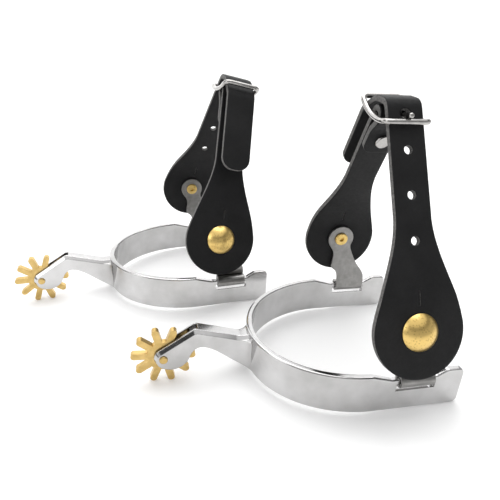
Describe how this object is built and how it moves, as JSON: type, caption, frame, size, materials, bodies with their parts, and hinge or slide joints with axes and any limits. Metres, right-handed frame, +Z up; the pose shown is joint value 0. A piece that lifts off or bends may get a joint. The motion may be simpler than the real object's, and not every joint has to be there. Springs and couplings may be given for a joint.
{
  "type": "pair of western spurs",
  "caption": "Pair of western spurs: U-shaped steel heel bands with forked shanks and brass star rowels, and buckled black leather straps on hangers.",
  "frame": {"origin": "on the ground, under the middle of the pair's bounding box", "axes": "+X towards the toe of the left spur, +Y towards the right spur, +Z up"},
  "size_m": [0.2288, 0.2058, 0.1388],
  "materials": {
    "polished_steel": "polished, soft reflections",
    "brushed_steel": "brushed",
    "satin_brass": "satin",
    "polished_brass": "polished",
    "nickel_plate": "bright nickel plate",
    "black_leather": "matt black grain with grey cut edges"
  },
  "bodies": {
    "left_spur": {"left_heel_band": "polished_steel", "left_rowel_pin": "satin_brass"},
    "left_rowel_wheel": {"left_rowel": "satin_brass"},
    "left_outer_hanger_plate": {"left_outer_hanger": "brushed_steel"},
    "left_inner_hanger_plate": {"left_inner_hanger": "brushed_steel"},
    "left_outer_stud": {"left_outer_rivet": "polished_brass"},
    "left_strap_loop": {"left_billet_strap": "black_leather", "left_buckle_strap": "black_leather", "left_fold_rivet": "nickel_plate", "left_fold_rivet_cap": "nickel_plate", "left_outer_button": "polished_brass", "left_inner_button": "polished_brass", "left_inner_rivet": "polished_brass"},
    "left_buckle": {"left_buckle_frame": "nickel_plate"},
    "left_tongue": {"left_buckle_tongue": "nickel_plate"},
    "right_spur": {"right_heel_band": "polished_steel", "right_rowel_pin": "satin_brass"},
    "right_rowel_wheel": {"right_rowel": "satin_brass"},
    "right_outer_hanger_plate": {"right_outer_hanger": "brushed_steel"},
    "right_inner_hanger_plate": {"right_inner_hanger": "brushed_steel"},
    "right_outer_stud": {"right_outer_rivet": "polished_brass"},
    "right_strap_loop": {"right_billet_strap": "black_leather", "right_buckle_strap": "black_leather", "right_fold_rivet": "nickel_plate", "right_fold_rivet_cap": "nickel_plate", "right_outer_button": "polished_brass", "right_inner_button": "polished_brass", "right_inner_rivet": "polished_brass"},
    "right_buckle": {"right_buckle_frame": "nickel_plate"},
    "right_tongue": {"right_buckle_tongue": "nickel_plate"}
  },
  "joints": [
    {"name": "left_rowel_spin", "type": "hinge", "parent": "left_spur", "child": "left_rowel_wheel", "pos_m": [-0.02402, -0.04696, 0.01569], "axis": [0, 1, 0], "continuous": true},
    {"name": "left_outer_hanger_sway", "type": "hinge", "parent": "left_spur", "child": "left_outer_hanger_plate", "pos_m": [0.09023, -0.00531, 0.01721], "axis": [0.9986, 0, -0.0533], "range_deg": [-2.5, 2.5]},
    {"name": "left_inner_hanger_sway", "type": "hinge", "parent": "left_spur", "child": "left_inner_hanger_plate", "pos_m": [0.09023, -0.08861, 0.01721], "axis": [0.9986, 0, -0.0533], "range_deg": [-2.5, 2.5]},
    {"name": "left_outer_button_level", "type": "hinge", "parent": "left_outer_hanger_plate", "child": "left_outer_stud", "pos_m": [0.08306, -0.00606, 0.04983], "axis": [0.9986, 0, -0.0533], "range_deg": [-2.6, 2.6]},
    {"name": "left_strap_swing", "type": "hinge", "parent": "left_outer_stud", "child": "left_strap_loop", "pos_m": [0.08306, -0.00341, 0.04983], "axis": [0, 1, 0], "range_deg": [-80, 80]},
    {"name": "left_buckle_tip", "type": "hinge", "parent": "left_strap_loop", "child": "left_buckle", "pos_m": [0.08732, -0.04167, 0.1297], "axis": [-0.9986, 0, 0.0533], "range_deg": [-1, 1]},
    {"name": "left_tongue_lift", "type": "hinge", "parent": "left_buckle", "child": "left_tongue", "pos_m": [0.08732, -0.04167, 0.1297], "axis": [-0.9986, 0, 0.0533], "range_deg": [0, 3]},
    {"name": "right_rowel_spin", "type": "hinge", "parent": "right_spur", "child": "right_rowel_wheel", "pos_m": [-0.09831, 0.04228, 0.0154], "axis": [-0.1063, 0.9943, 0], "continuous": true},
    {"name": "right_outer_hanger_sway", "type": "hinge", "parent": "right_spur", "child": "right_outer_hanger_plate", "pos_m": [0.01971, 0.01301, 0.01716], "axis": [-0.993, -0.1061, 0.0511], "range_deg": [-2.5, 2.5]},
    {"name": "right_inner_hanger_sway", "type": "hinge", "parent": "right_spur", "child": "right_inner_hanger_plate", "pos_m": [0.01086, 0.09584, 0.01716], "axis": [-0.993, -0.1061, 0.0511], "range_deg": [-2.5, 2.5]},
    {"name": "right_outer_button_level", "type": "hinge", "parent": "right_outer_hanger_plate", "child": "right_outer_stud", "pos_m": [0.01255, 0.01189, 0.04977], "axis": [-0.993, -0.1061, 0.0511], "range_deg": [-2.6, 2.6]},
    {"name": "right_strap_swing", "type": "hinge", "parent": "right_outer_stud", "child": "right_strap_loop", "pos_m": [0.01314, 0.00641, 0.04977], "axis": [-0.1063, 0.9943, 0], "range_deg": [-92.5, 67.5]},
    {"name": "right_buckle_tip", "type": "hinge", "parent": "right_strap_loop", "child": "right_buckle", "pos_m": [0.02981, 0.05065, 0.12687], "axis": [0.9585, 0.1024, -0.2661], "range_deg": [-1, 1]},
    {"name": "right_tongue_lift", "type": "hinge", "parent": "right_buckle", "child": "right_tongue", "pos_m": [0.02981, 0.05065, 0.12687], "axis": [0.9585, 0.1024, -0.2661], "range_deg": [0, 3]},
    {"name": "pair_lift", "type": "slide", "parent": "left_spur", "child": "right_spur", "axis": [0, 0, 1], "range_m": [0, 0.15]}
  ],
  "couplings": [
    {"joint": "left_inner_hanger_sway", "follows": "left_outer_hanger_sway", "ratio": 1},
    {"joint": "left_outer_button_level", "follows": "left_outer_hanger_sway", "ratio": -1.0048},
    {"joint": "right_inner_hanger_sway", "follows": "right_outer_hanger_sway", "ratio": 1},
    {"joint": "right_outer_button_level", "follows": "right_outer_hanger_sway", "ratio": -1.0048}
  ]
}
